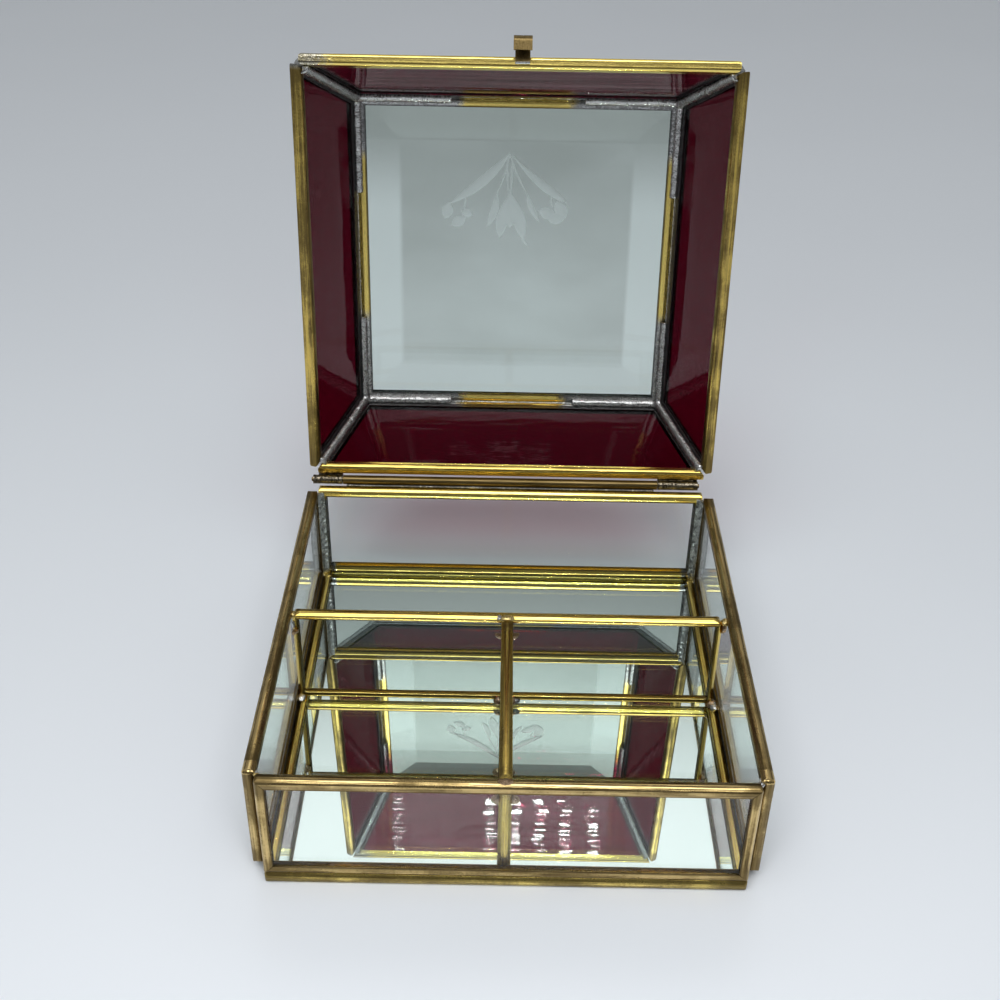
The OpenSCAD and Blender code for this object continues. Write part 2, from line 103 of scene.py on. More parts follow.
class Value:
    """A number that varies over a surface, so that finishes can be written as sums."""

    def __init__(self, paint, socket):
        self.paint = paint
        self.socket = socket

    def maths(self, operation, *numbers):
        """The value that a Math node gives for these numbers."""
        return self.paint.node("Math", {"operation": operation}, dict(enumerate(numbers)))

    def __add__(self, other):
        return self.maths("ADD", self, other)

    def __sub__(self, other):
        return self.maths("SUBTRACT", self, other)

    def __rsub__(self, other):
        return self.maths("SUBTRACT", other, self)

    def __mul__(self, other):
        return self.maths("MULTIPLY", self, other)

    __radd__ = __add__
    __rmul__ = __mul__

    def size(self):
        return self.maths("ABSOLUTE", self)

    def least(self, other):
        return self.maths("MINIMUM", self, other)

    def most(self, other):
        return self.maths("MAXIMUM", self, other)

    def step(self, low, high):
        """0 below low, 1 above high, smooth between; where low lies above high, 1 below and 0 above."""
        flip = low > high
        ends = (high, low) if flip else (low, high)
        settings = {"interpolation_type": "SMOOTHSTEP"}
        out = self.paint.node("MapRange", settings, {0: self, 1: ends[0], 2: ends[1]})
        return 1 - out if flip else out


class Paint:
    """One finish, or the sky, as a node tree that is being made."""

    def __init__(self, owner):
        owner.use_nodes = True
        self.owner = owner
        self.tree = owner.node_tree
        self.tree.nodes.clear()

    def node(self, kind, settings=None, values=None, out=0):
        """A node of this kind, set first and then filled or linked, socket by socket; gives one output."""
        made = self.tree.nodes.new("ShaderNode" + kind)
        for key, setting in (settings or {}).items():
            setattr(made, key, setting)
        for key, value in (values or {}).items():
            socket = made.inputs[key]
            if isinstance(value, Value):
                self.tree.links.new(value.socket, socket)
            elif socket.type == "RGBA" and len(value) == 3:
                socket.default_value = (*value, 1)
            else:
                socket.default_value = value
        return Value(self, made.outputs[out]) if made.outputs else None

    def place(self):
        """The place on the piece at rest, in metres."""
        return self.node("TexCoord", out=3)

    def parts(self, vector):
        """The x, y and z of a vector."""
        first = self.node("SeparateXYZ", values={0: vector})
        return [Value(self, output) for output in first.socket.node.outputs]

    def turned(self, vector, centre, angle):
        """A place turned about the x direction through centre."""
        moved = self.node("VectorMath", {"operation": "SUBTRACT"}, {0: vector, 1: tuple(centre)})
        return self.node("VectorRotate", {"rotation_type": "X_AXIS"}, {0: moved, "Angle": angle})

    def noise(self, vector, size, detail=2, rough=0.5, stretch=None):
        """Soft noise round 0.5 with grains of about this size, longer where their stretch is below 1."""
        if stretch:
            vector = self.node("VectorMath", {"operation": "MULTIPLY"}, {0: vector, 1: stretch})
        values = {"Vector": vector, "Scale": 1 / size, "Detail": detail, "Roughness": rough}
        return self.node("TexNoise", values=values)

    def blend(self, amount, a, b):
        """Colour a where amount is 0 and b where it is 1."""
        return self.node("Mix", {"data_type": "RGBA"}, {0: amount, 6: a, 7: b}, out=2)

    def bump(self, height, distance, strength=1.0):
        """A normal that follows height, where 1 stands for distance."""
        values = {"Height": height, "Distance": distance, "Strength": strength}
        return self.node("Bump", values=values)

    def finish(self, values):
        """The material with one main shader of these values."""
        shader = self.node("BsdfPrincipled", values=values)
        self.node("OutputMaterial", values={0: shader})
        return self.owner

    def metal(self, values):
        """The material as a metal of these values."""
        return self.finish({"Metallic": 1.0, **values})

    def pane(self, values, shadow):
        """Glass of these values, which lets lamps through as if tinted with shadow."""
        bulk = {"Roughness": 0.0, "IOR": 1.5, "Transmission Weight": 1.0}
        glass = self.node("BsdfPrincipled", values={**bulk, **values})
        clear = self.node("BsdfTransparent", values={0: shadow})
        shadow_ray = self.node("LightPath", out=1)
        both = self.node("MixShader", values={0: shadow_ray, 1: glass, 2: clear})
        self.node("OutputMaterial", values={0: both})
        return self.owner


def paint(name):
    """A new material to be painted."""
    return Paint(bpy.data.materials.new(name))


def lid_place(p):
    """A place on the lid, from the middle of the closed lid's open underside."""
    turned = p.turned(p.place(), HINGE_POINT, LID_OPEN)
    shift = (-HINGE_POINT.x, HINGE_POINT.y, HINGE_POINT.z - LID_Z)
    return p.node("VectorMath", {"operation": "ADD"}, {0: turned, 1: shift})


# --- brass ---------------------------------------------------------------------------------------

BRIGHT_BRASS = (0.88, 0.66, 0.20)
# Paler brass, partly a painted sheen: it makes the floor, back and lid's front and top channels look more
# brightly lit
SHEEN_PALE_BRASS = (0.98, 0.78, 0.26)
WORN_BRASS = (0.78, 0.59, 0.29)
DULL_BRASS = (0.46, 0.34, 0.14)
BROWN_PATINA = (0.10, 0.07, 0.035)
TIN = (0.66, 0.66, 0.65)
DULL_TIN = (0.20, 0.20, 0.20)

FINE_MARK = 0.5 * MM
WIDE_MARK = 1.6 * MM
RAIL_LEG = 3.1 * MM
DIVIDER_LEG = 2 * MM

# The plane that a channel lies in, as the axes that its rails run along
LYING = (0, 1)
FACING = (0, 2)
SIDEWAYS = (1, 2)


def drawn(p, place, axis, size):
    """Marks left along an axis by the rollers that fold the strip."""
    stretch = [1, 1, 1]
    stretch[axis] = 0.03
    return p.noise(place, size, 3, 0.6, tuple(stretch))


class Rails:
    """Where a place is on a four-sided channel that lies in the plane of two axes."""

    def __init__(self, p, place, axes, low, high):
        self.p = p
        self.place = place
        self.axes = axes
        middle = (low + high) / 2
        half = (high - low) / 2
        spots = p.parts(place)
        from_side, from_end = (half[axis] - (spots[axis] - middle[axis]).size() for axis in axes)
        self.upright = (from_end - from_side).step(-0.3 * MM, 0.3 * MM)
        self.from_corner = from_side.most(from_end)
        self.from_fold = from_side.least(from_end)
        through = 3 - sum(axes)
        from_middle = (spots[through] - middle[through]).size()
        self.round = from_middle.step(0.82 * half[through], 0)

    def marks(self, size):
        """Marks that run along each rail and meet at the mitres."""
        lying = drawn(self.p, self.place, self.axes[0], size)
        standing = drawn(self.p, self.place, self.axes[1], size)
        return lying + (standing - lying) * self.upright


def brass(name, channel=None, axes=LYING, patina=0.4, bright=BRIGHT_BRASS, tinned=None,
          worn_fold=-0.05, satin=0.0, roundness=1.0, rubbed=None):
    """Folded brass strip, drawn along each rail, browner by patina and where it was heated to solder it.

    Tinned and rubbed are functions that say where it is silvered with solder, and where it is less brown.
    A worn_fold above 0 makes its folds browner. Satin makes it matt, and roundness swells its legs.
    """
    p = paint(name)
    on_lid = name.startswith("lid_")
    place = lid_place(p) if on_lid else p.place()
    cloud = p.noise(place, 16 * MM, 4, 0.6)
    grain = p.noise(place, 0.7 * MM, 3, 0.65)
    if channel:
        low, high = closed_box(channel) if on_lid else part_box(channel)
        rails = Rails(p, place, axes, low, high)
        leg = DIVIDER_LEG if "divider" in channel else RAIL_LEG
        marks = rails.marks(FINE_MARK)
        wide_marks = rails.marks(WIDE_MARK)
        heated = (rails.from_corner + cloud * 8 * MM).step(13 * MM, 7 * MM)
        # Darker along each leg's edge, where it meets the glass
        dark_leg_edge = (rails.from_fold + marks * 0.5 * MM).step(leg - 0.5 * MM, leg + 0.1 * MM)
        fold = rails.from_fold.step(1.3 * MM, 0.4 * MM)
        swell = rails.from_fold.step(0.1 * MM, leg / 2) * rails.from_fold.step(leg, leg / 2)
        crown = rails.round * 0.42 + swell * 0.24
    else:
        marks = drawn(p, place, axes[0], FINE_MARK)
        wide_marks = drawn(p, place, axes[0], WIDE_MARK)
        heated = dark_leg_edge = fold = crown = 0.0
    worn = cloud * 0.40 + wide_marks * 0.40 + grain * 0.12 + marks * 0.08
    if rubbed:
        worn = worn - rubbed(p, place) * 0.22
    brown = (worn + heated * 0.10 + fold * worn_fold).step(0.92 - patina, 1.08 - patina)
    streak = marks.step(0.42, 0.60)
    shade = p.blend(streak * patina * 0.9 + brown * 0.45, bright, DULL_BRASS)
    specks = marks.step(0.60, 0.72) * patina * 0.6 + grain.step(0.58, 0.68) * satin
    dark = (brown * 0.62 + specks).most(dark_leg_edge * 0.85)
    colour = p.blend(dark, shade, BROWN_PATINA)
    rough = 0.13 + marks * 0.12 + brown * 0.20 + satin
    height = (marks * 0.05 + wide_marks * 0.10 + crown) * roundness + grain * 0.012 + cloud * 0.09
    if tinned:
        ripple = p.noise(place, 1.6 * MM, 3, 0.6)
        speck = p.noise(place, 0.4 * MM, 2, 0.6)
        tin = tinned(p, place, ripple)
        dull = (ripple * 0.3 + speck * 0.35 + wide_marks * 0.35).step(0.40, 0.62)
        colour = p.blend(tin, colour, p.blend(dull.most(dark_leg_edge), TIN, DULL_TIN))
        rough = rough + tin * (dull * 0.12 - 0.04)
        height = height + tin * (ripple + speck * 0.2) * 0.17
    return p.metal({"Base Color": colour, "Roughness": rough, "Normal": p.bump(height, MM)})


def hip_tin(p, place, ripple, sunk=False):
    """Tinned along the lid's hips, round its top frame's corners and at its front left corner."""
    x, y, z = p.parts(place)
    ragged = ripple * (3 * MM) - 1.5 * MM
    near_hip = ((x.size() - y.size()).size() + ragged).step(7.5 * MM, 6 * MM)
    off_rim = z.step(1.5 * MM, 4 * MM)
    front_rails = (y.size() - x.size()).step(-0.2 * MM, 0.2 * MM)
    side_reach = y.step(-40 * MM, -34 * MM) * y.step(26 * MM, 20 * MM)
    front_reach = (x.size() + ragged * 3).step(22 * MM, 17 * MM)
    bare = front_rails * front_reach + (1 - front_rails) * side_reach
    high = z.step(LID_RISE - 6 * MM, LID_RISE - 4.5 * MM)
    framed = high if sunk else (1 - bare) * high
    front_edge = y.step(LID_FRONT + 5.25 * MM, LID_FRONT + 3.25 * MM)
    smear = (x + ragged * 3).step(-61 * MM, -67 * MM) * front_edge
    return (near_hip * off_rim).most(framed).most(smear * 0.8)


def sunk_tin(p, place, ripple):
    """Tinned as hip_tin, and all along the rail that lies against the top frame."""
    return hip_tin(p, place, ripple, sunk=True)


def corner_tin(p, place, ripple):
    """Tinned in the back upright corners of the case, below the rim."""
    x, y, z = p.parts(place)
    ragged = ripple * (2.4 * MM) - 1.2 * MM
    across = (x.size() + ragged * 0.5).step(INSIDE_X - 5.5 * MM, INSIDE_X - 4.2 * MM)
    back = (y + ragged).step(CASE_Y - 8.6 * MM, CASE_Y - 7.4 * MM)
    return across * back * z.step(RIM_Z - 3 * MM, RIM_Z - 5 * MM)


def back_run(p, place):
    """The back of the floor's channel, which stays bright."""
    y = p.parts(place)[1]
    return y.step(0, CASE_Y - 6 * MM)


def front_end(p, place):
    """The last part of a side rail's top, near the front, where the patina is rubbed away."""
    x, y, z = p.parts(place)
    ragged = p.noise(place, 1.5 * MM) * MM
    near_front = (y + ragged).step(-CASE_Y + 9.5 * MM, -CASE_Y + 8.5 * MM)
    return near_front * z.step(RIM_Z - 1.6 * MM, RIM_Z - 0.8 * MM)


# --- solder, glass and silvering -----------------------------------------------------------------

CLEAR_TINT = (0.955, 0.985, 0.975)
CLEAR_SHADOW = (0.92, 0.96, 0.95)
BEVEL_TINT = (0.88, 0.96, 0.92)
BEVEL_SHADOW = (0.90, 0.94, 0.93)
# A grey-green for the painted shade in the top pane's flat
PAINTED_SHADE_TINT = (0.56, 0.61, 0.57)
RUBY_TINT = (0.105, 0.002, 0.013)
RUBY_WISP = (0.20, 0.03, 0.06)
RUBY_SHADOW = (0.72, 0.24, 0.36)
SILVER = (0.90, 0.93, 0.92)
CLOUDED_SILVER = (0.84, 0.89, 0.88)

# Half of the flat between the top pane's bevels
BEVEL_INNER = 43 * MM


def solder(name, dark=0.5, light=TIN, dull=DULL_TIN):
    """Solder with a rippled, partly dulled skin."""
    p = paint(name)
    place = p.place()
    ripple = p.noise(place, 1.4 * MM, 3, 0.55)
    speck = p.noise(place, 0.35 * MM, 2, 0.6)
    shade = (ripple * 0.55 + speck * 0.45).step(0.96 - dark, 1.14 - dark)
    return p.metal({
        "Base Color": p.blend(shade, light, dull),
        "Roughness": 0.18 + speck * 0.16 + shade * 0.15,
        "Normal": p.bump(ripple + speck * 0.4, 0.3 * MM, 0.6),
    })


def clear(name):
    """Plain window glass, very slightly green."""
    return paint(name).pane({"Base Color": CLEAR_TINT}, CLEAR_SHADOW)


def ruby(name, ripple, size, stretch, shine=0.1, fine=0.3, wisps=False):
    """Ruby glass with a rolled ripple, given its depth and its size; one pane also has paler wisps."""
    p = paint(name)
    place = lid_place(p)
    wave = p.noise(place, size, 2 if fine else 0, 0.5, stretch)
    if fine:
        wave = wave + p.noise(place, size / 4, 2, 0.5, stretch) * fine
    tint = RUBY_TINT
    if wisps:
        wisp = p.noise(place, 2.5 * MM, 3, 0.6, (0.05, 1, 1)).step(0.45, 0.68)
        tint = p.blend(wisp, RUBY_TINT, RUBY_WISP)
    values = {"Base Color": tint, "Specular IOR Level": shine, "Normal": p.bump(wave, ripple)}
    return p.pane(values, RUBY_SHADOW)


def wheel_cut(name):
    """The bevelled pane's glass: darkened by a painted shade in its flat and front bevels, frosted where
    the wheel has cut it.
    """
    p = paint(name)
    cut = p.node("Attribute", {"attribute_name": "cut"}, out=2)
    place = lid_place(p)
    x, y, z = p.parts(place)
    grit = p.noise(place, 0.4 * MM, 2, 0.6)
    # Painted shade: the flat darkens in soft clouds and more towards the front, and so do the front bevels,
    # for the shade that shows through the pane behind the open lid
    shade_cloud = p.noise(place, 22 * MM, 3, 0.5, (0.45, 1, 1))
    flat = BEVEL_INNER + 0.4 * MM
    middle = x.size().most(y.size()).step(flat, flat - 2 * MM)
    front = y.step(30 * MM, -45 * MM)
    front_bevels = (1 - middle) * y.step(-15 * MM, -50 * MM)
    painted_shade = (middle * (0.12 + shade_cloud * 0.75 + front * 0.36) + front_bevels) * (1 - cut)
    values = {"Base Color": p.blend(painted_shade, BEVEL_TINT, PAINTED_SHADE_TINT), "Roughness": cut * (0.25 + grit * 0.2)}
    return p.pane(values, BEVEL_SHADOW)


def silvering(name):
    """The mirror's silver, faintly clouded."""
    p = paint(name)
    cloud = p.noise(p.place(), 30 * MM, 3, 0.5)
    return p.metal({"Base Color": p.blend(cloud, SILVER, CLOUDED_SILVER), "Roughness": 0.0})


# --- the finish of each node ---------------------------------------------------------------------

hinge_brass = brass("hinge_brass", axes=(0, 0), patina=0.66, bright=WORN_BRASS)
tab_brass = brass("tab_brass", axes=(2, 2), patina=0.60, bright=WORN_BRASS)
bright_solder = solder("bright_solder", 0.42)
dark_solder = solder("dark_solder", 0.62)
gold_solder = solder("gold_solder", 0.44, light=(0.80, 0.64, 0.30), dull=(0.34, 0.24, 0.10))
black_solder = solder("black_solder", 0.55, light=(0.46, 0.40, 0.30), dull=(0.07, 0.06, 0.045))
seam_solder = solder("seam_solder", 0.50, light=(0.85, 0.85, 0.84), dull=(0.08, 0.08, 0.08))
# Dark bronze solder: a real stain on the front rail, and painted shade on the divider beads
bronze_stain_and_shade = solder("bronze_stain_and_shade", 0.50, light=(0.52, 0.38, 0.26), dull=(0.26, 0.18, 0.11))
clear_glass = clear("clear_glass")
ruby_front = ruby("ruby_glass_streaky", 0.11 * MM, 3.6 * MM, (0.08, 1, 1), shine=0.4, fine=0, wisps=True)
ruby_back = ruby("ruby_glass_rolled_across", 0.10 * MM, 9 * MM, (0.12, 1, 1))
ruby_along = ruby("ruby_glass_rolled_along", 0.12 * MM, 9 * MM, (1, 0.12, 1))
wheel_cut_glass = wheel_cut("wheel_cut_glass")
mirror_silver = silvering("mirror_silver")

CHANNELS = {
    "floor_channel": dict(axes=LYING, patina=0.37, bright=SHEEN_PALE_BRASS, worn_fold=0.16, satin=0.03,
                          roundness=0.9, rubbed=back_run),
    "back_channel": dict(axes=FACING, patina=0.10, bright=SHEEN_PALE_BRASS, tinned=corner_tin, satin=0.03,
                         roundness=0.9),
    "front_channel": dict(axes=FACING, patina=0.49, bright=WORN_BRASS),
    "left_channel": dict(axes=SIDEWAYS, patina=0.54, bright=WORN_BRASS, rubbed=front_end),
    "right_channel": dict(axes=SIDEWAYS, patina=0.54, bright=WORN_BRASS, rubbed=front_end),
    "cross_divider_channel": dict(axes=FACING, patina=0.36),
    "centre_divider_channel": dict(axes=SIDEWAYS, patina=0.46),
    "lid_front_channel": dict(axes=FACING, patina=0.16, bright=SHEEN_PALE_BRASS, tinned=sunk_tin, roundness=0.3),
    "lid_back_channel": dict(axes=FACING, patina=0.26, tinned=hip_tin),
    "lid_left_channel": dict(axes=SIDEWAYS, patina=0.56, tinned=sunk_tin),
    "lid_right_channel": dict(axes=SIDEWAYS, patina=0.56, tinned=sunk_tin),
    "lid_top_channel": dict(axes=LYING, patina=0.18, bright=SHEEN_PALE_BRASS, tinned=hip_tin, satin=0.08,
                            roundness=0.3),
}
FINISHES = {
    "mirror_backing": mirror_silver, "hinge_tube": hinge_brass, "hinge_pin": hinge_brass,
    "left_knuckle": black_solder, "right_knuckle": black_solder, "lift_tab": tab_brass,
    "lid_front_glass": ruby_front, "lid_back_glass": ruby_back,
    "lid_left_glass": ruby_along, "lid_right_glass": ruby_along,
}
for channel, look in CHANNELS.items():
    FINISHES[channel] = brass(channel + "_brass", channel, **look)


def coat(piece, *finishes):
    """Gives a piece these finishes, in the order of its faces' material numbers."""
    piece.data.materials.clear()
    for finish in finishes:
        piece.data.materials.append(finish)


for name, node in nodes.items():
    other = clear_glass if name.endswith("_glass") else bright_solder
    coat(node, FINISHES.get(name, other))


# --- pieces --------------------------------------------------------------------------------------

def add(name, mesh, body, slot, *finishes, smooth=True):
    """A new piece that rides on a body and takes these finishes; slot is not used."""
    piece = bpy.data.objects.new(name, mesh)
    bpy.context.scene.collection.objects.link(piece)
    coat(piece, *finishes)
    for polygon in mesh.polygons:
        polygon.use_smooth = smooth
    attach(piece, body)
    return piece


def mesh_of(name, bm):
    """A mesh of what bm holds, with its faces turned outwards."""
    mesh = bpy.data.meshes.new(name)
    bmesh.ops.recalc_face_normals(bm, faces=bm.faces)
    bm.to_mesh(mesh)
    bm.free()
    return mesh


def mirror_pane():
    """The mirror: clear glass with rounded corners, silvered on its underside."""
    corner = 0.9 * MM
    turns = 6
    outline = []
    for x_sign, y_sign, start in ((1, 1, 0), (-1, 1, 90), (-1, -1, 180), (1, -1, 270)):
        for i in range(turns + 1):
            angle = math.radians(start + 90 * i / turns)
            outline.append((x_sign * (MIRROR_HIGH.x - corner) + corner * math.cos(angle),
                            y_sign * (MIRROR_HIGH.y - corner) + corner * math.sin(angle)))
    silver_z = MIRROR_LOW.z + 0.01 * MM
    bm = bmesh.new()
    low = [bm.verts.new((x, y, silver_z)) for x, y in outline]
    high = [bm.verts.new((x, y, MIRROR_HIGH.z)) for x, y in outline]
    bottom = bm.faces.new(low)
    bm.faces.new(high)
    for i in range(len(outline)):
        j = (i + 1) % len(outline)
        bm.faces.new((low[i], low[j], high[j], high[i]))
    bottom.material_index = 1
    piece = add("mirror_pane", mesh_of("mirror_pane", bm), "case", "mirror_glass",
                clear_glass, mirror_silver, smooth=False)
    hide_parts("mirror_glass")


# The cut spray, in millimetres on the top pane: x to the right, y towards the hinge.
# Stems meet near the front edge, and leaves, buds and petals spread towards the hinge.
# Each wheel cut has its two ends, how far it bows, its width, and where it is widest (1 is halfway).
SPRAY_X = -2.6
LEAVES = [
    ((0.0, -38), (-22.4, -19.1), -1.6, 3.8, 1.0), ((0.4, -38), (21.4, -20.2), 1.2, 3.2, 1.5),
    ((-4.4, -24), (-7.8, -10.9), -0.8, 3.0, 1.2), ((6.6, -23.5), (11.2, -13.1), 0.6, 2.2, 1.1),
]
PETALS = [
    ((0.3, -24), (-3.4, -6.8), 0.5, 4.4, 1.5), ((0.2, -24), (5.4, -6.4), -0.6, 4.8, 1.4),
    ((0.2, -25), (0.4, -10.6), 0.0, 4.2, 1.6), ((5.0, -8), (7.4, -3.8), 0.5, 0.9, 1.0),
]
STEMS = [
    ((0, -38), (-4.4, -23.5), -0.5, 0.6, 1.0), ((0, -38), (6.6, -23.2), 0.6, 0.6, 1.0),
    ((-0.8, -37), (-0.3, -22), 0.1, 0.5, 1.0), ((0.8, -37), (0.7, -22), -0.1, 0.5, 1.0),
    ((15.5, -23.0), (16.2, -18.5), 0.3, 0.5, 1.0), ((-16.0, -23.0), (-17.2, -14.5), -0.3, 0.5, 1.0),
]
# Each bud has its middle, its lean in degrees and its width
BUDS = [
    (14.2, -16.2, 20, 4.6), (19.2, -17.6, 60, 5.0), (17.4, -14.2, 0, 4.4),
    (-22.8, -16.6, 100, 4.4), (-18.6, -12.6, 150, 4.2), (-15.4, -15.8, 20, 3.2),
]
BUD_REACH = 0.72
CUT_DEPTH = 0.20 * MM
THINNEST_CUT = 0.08


def wheel_stroke(x, y, start, end, bend, width, widest):
    """How deep, from 0 to 1, one wheel cut lies at each place; bend bows it sideways."""
    start = np.array(start, float)
    end = np.array(end, float)
    run = end - start
    length = np.hypot(*run)
    along = ((x - start[0]) * run[0] + (y - start[1]) * run[1]) / length ** 2
    side = ((x - start[0]) * -run[1] + (y - start[1]) * run[0]) / length
    inside = np.clip(along, 0, 1)
    bow = bend * 4 * inside * (1 - inside)
    half = width / 2 * np.sin(math.pi * inside ** widest) ** 0.8 + THINNEST_CUT
    over = np.clip(np.abs(along - 0.5) - 0.5, 0, None) * length
    reach = np.hypot(side - bow, over * 3) / half
    return np.clip(1 - reach ** 2, 0, 1)


def spray(x, y):
    """Depth of the whole spray, from 0 to 1."""
    cuts = [*LEAVES, *PETALS, *STEMS]
    for bud_x, bud_y, lean, width in BUDS:
        reach = Vector((math.cos(math.radians(lean)), math.sin(math.radians(lean)))) * BUD_REACH * width
        cuts.append(((bud_x - reach.x, bud_y - reach.y), (bud_x + reach.x, bud_y + reach.y), 0, width, 1))
    depth = np.zeros_like(x)
    for cut in cuts:
        depth = np.maximum(depth, wheel_stroke(x - SPRAY_X, y, *cut))
    return depth


def cut_lines(low, high, flat):
    """Grid lines over the top pane's flat, close together from low to high and far apart beyond."""
    fine = 0.25 * MM
    coarse = 4 * MM
    dense = np.arange(low, high + fine / 2, fine)
    before = np.linspace(-flat, low, int((low + flat) / coarse) + 2)[:-1]
    after = np.linspace(dense[-1], flat, int((flat - dense[-1]) / coarse) + 2)[1:]
    return np.concatenate([before, dense, after])


def bevelled_pane():
    """The thick top pane, with four bevels and the spray cut into its outer face."""
    low, high = closed_box("lid_top_glass")
    half = high.x
    edge_z = (low.z + high.z) / 2

    # The outer face, as a grid that is sunk where the wheel has cut
    x, y = np.meshgrid(cut_lines(-30 * MM, 25 * MM, BEVEL_INNER), cut_lines(-40 * MM, 0, BEVEL_INNER),
                       indexing="ij")
    depth = spray(x / MM, y / MM)
    places = np.stack([x, y, high.z - CUT_DEPTH * depth], -1).reshape(-1, 3)
    index = np.arange(x.size).reshape(x.shape)
    quads = np.stack([index[:-1, :-1], index[1:, :-1], index[1:, 1:], index[:-1, 1:]], -1).reshape(-1, 4)
    faces = quads.tolist()

    # Bevels down to the edge, the edge itself and the flat inner face
    ring = [(-half, -half), (half, -half), (half, half), (-half, half)]
    rows = [(*corner, z) for z in (edge_z, low.z) for corner in ring]
    first = len(places)
    places = np.vstack([places, rows])
    flat_edges = [index[:, 0], index[-1, :], index[::-1, -1], index[0, ::-1]]
    for i, edge in enumerate(flat_edges):
        here = first + i
        on = first + (i + 1) % 4
        faces.append([*edge.tolist(), on, here])
        faces.append([here, on, on + 4, here + 4])
    faces.append([first + 4 + i for i in range(4)])

    mesh = bpy.data.meshes.new("bevelled_pane")
    mesh.from_pydata(places.tolist(), [], faces)
    frost = np.zeros(len(places))
    frost[:first] = np.clip(depth.reshape(-1) * 4, 0, 1)
    cut = mesh.attributes.new("cut", "FLOAT", "POINT")
    cut.data.foreach_set("value", frost.astype(np.float32))
    bm = bmesh.new()
    bm.from_mesh(mesh)
    bmesh.ops.recalc_face_normals(bm, faces=bm.faces)
    bm.to_mesh(mesh)
    bm.free()
    mesh.transform(SWING)
    piece = add("bevelled_pane", mesh, "lid", "bevelled_glass", wheel_cut_glass, smooth=False)
    for polygon in mesh.polygons[:len(quads)]:
        polygon.use_smooth = any(frost[i] > 0 for i in polygon.vertices)
    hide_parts("lid_top_glass")


def remade(node_name, grain):
    """A node's mesh made again in even faces of about grain, with softened edges."""
    bm = bmesh.new()
    bm.from_mesh(nodes[node_name].data)
    bmesh.ops.remove_doubles(bm, verts=bm.verts, dist=1e-7)
    shape = bpy.data.objects.new(node_name + "_run", mesh_of(node_name + "_run", bm))
    bpy.context.scene.collection.objects.link(shape)
    remesh = shape.modifiers.new("remesh", "REMESH")
    remesh.mode = "VOXEL"
    remesh.voxel_size = grain
    smooth = shape.modifiers.new("smooth", "SMOOTH")
    smooth.iterations = 3
    bpy.context.view_layer.update()
    made = bpy.data.meshes.new_from_object(shape.evaluated_get(bpy.context.evaluated_depsgraph_get()))
    bpy.data.objects.remove(shape)
    made.name = node_name + "_run"
    return made


def rows_of(vertices, what):
    """Each vertex's co or normal, as rows of three numbers."""
    values = np.empty(len(vertices) * 3)
    vertices.foreach_get(what, values)
    return values.reshape(-1, 3)


def hand_run(node_name, finish, grain, lift, lump, body, seed):
    """A solder seam as it is run by hand: lumps about lump wide rise about lift, inside the solids' box."""
    mesh = remade(node_name, grain)
    places = rows_of(mesh.vertices, "co")
    shift = Vector((seed, seed * 2.3, seed * 0.7))
    rise = np.array([noise.noise(Vector(place) / lump + shift)
                     + 0.5 * noise.noise(Vector(place) / (lump * 0.4) + shift) for place in places])
    places += rows_of(mesh.vertices, "normal") * (rise * lift)[:, None]
    places = np.clip(places, *np.array(cad_box))
    mesh.vertices.foreach_set("co", places.reshape(-1))
    piece = add(node_name + "_run", mesh, body, "solder", finish)
    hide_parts(node_name)


def drop(name, place, half, finish):
    """A drop of solder left by hand, centred at place with these half sizes, in millimetres."""
    broad_swell = 0.16
    fine_swell = 0.05
    bm = bmesh.new()
    bmesh.ops.create_icosphere(bm, subdivisions=4, radius=1)
    shift = Vector(place) * 0.37
    for vertex in bm.verts:
        broad = noise.noise(vertex.co * 1.3 + shift)
        fine = noise.noise(vertex.co * 4 + shift)
        swell = 1 + broad_swell * broad + fine_swell * fine
        vertex.co = Vector(place) * MM + Vector(c * h * MM for c, h in zip(vertex.co, half)) * swell
    add(name, mesh_of(name, bm), "case", "solder", finish)


# Each seam has its solder, the size of its faces, the height and width of its lumps, in millimetres, and
# the body that it is on
SEAMS = {
    "lid_inner_seams": (bright_solder, 0.4, 0.16, 3.2, "lid"),
    "lid_outer_seams": (bright_solder, 0.5, 0.16, 3.6, "lid"),
    "corner_seams": (seam_solder, 0.25, 0.16, 1.6, "case"),
    # The divider beads are dark bronze as painted shade, so that they pass for shadow under the rails
    "divider_beads": (bronze_stain_and_shade, 0.2, 0.1, 1.2, "case"),
    "knuckle_solder": (black_solder, 0.2, 0.12, 1.5, "lid"),
    "hinge_fillet": (dark_solder, 0.3, 0.08, 2, "case"),
    "tab_solder": (bright_solder, 0.12, 0.04, 0.6, "lid"),
    "side_seams": (dark_solder, 0.25, 0.08, 2, "case"),
}

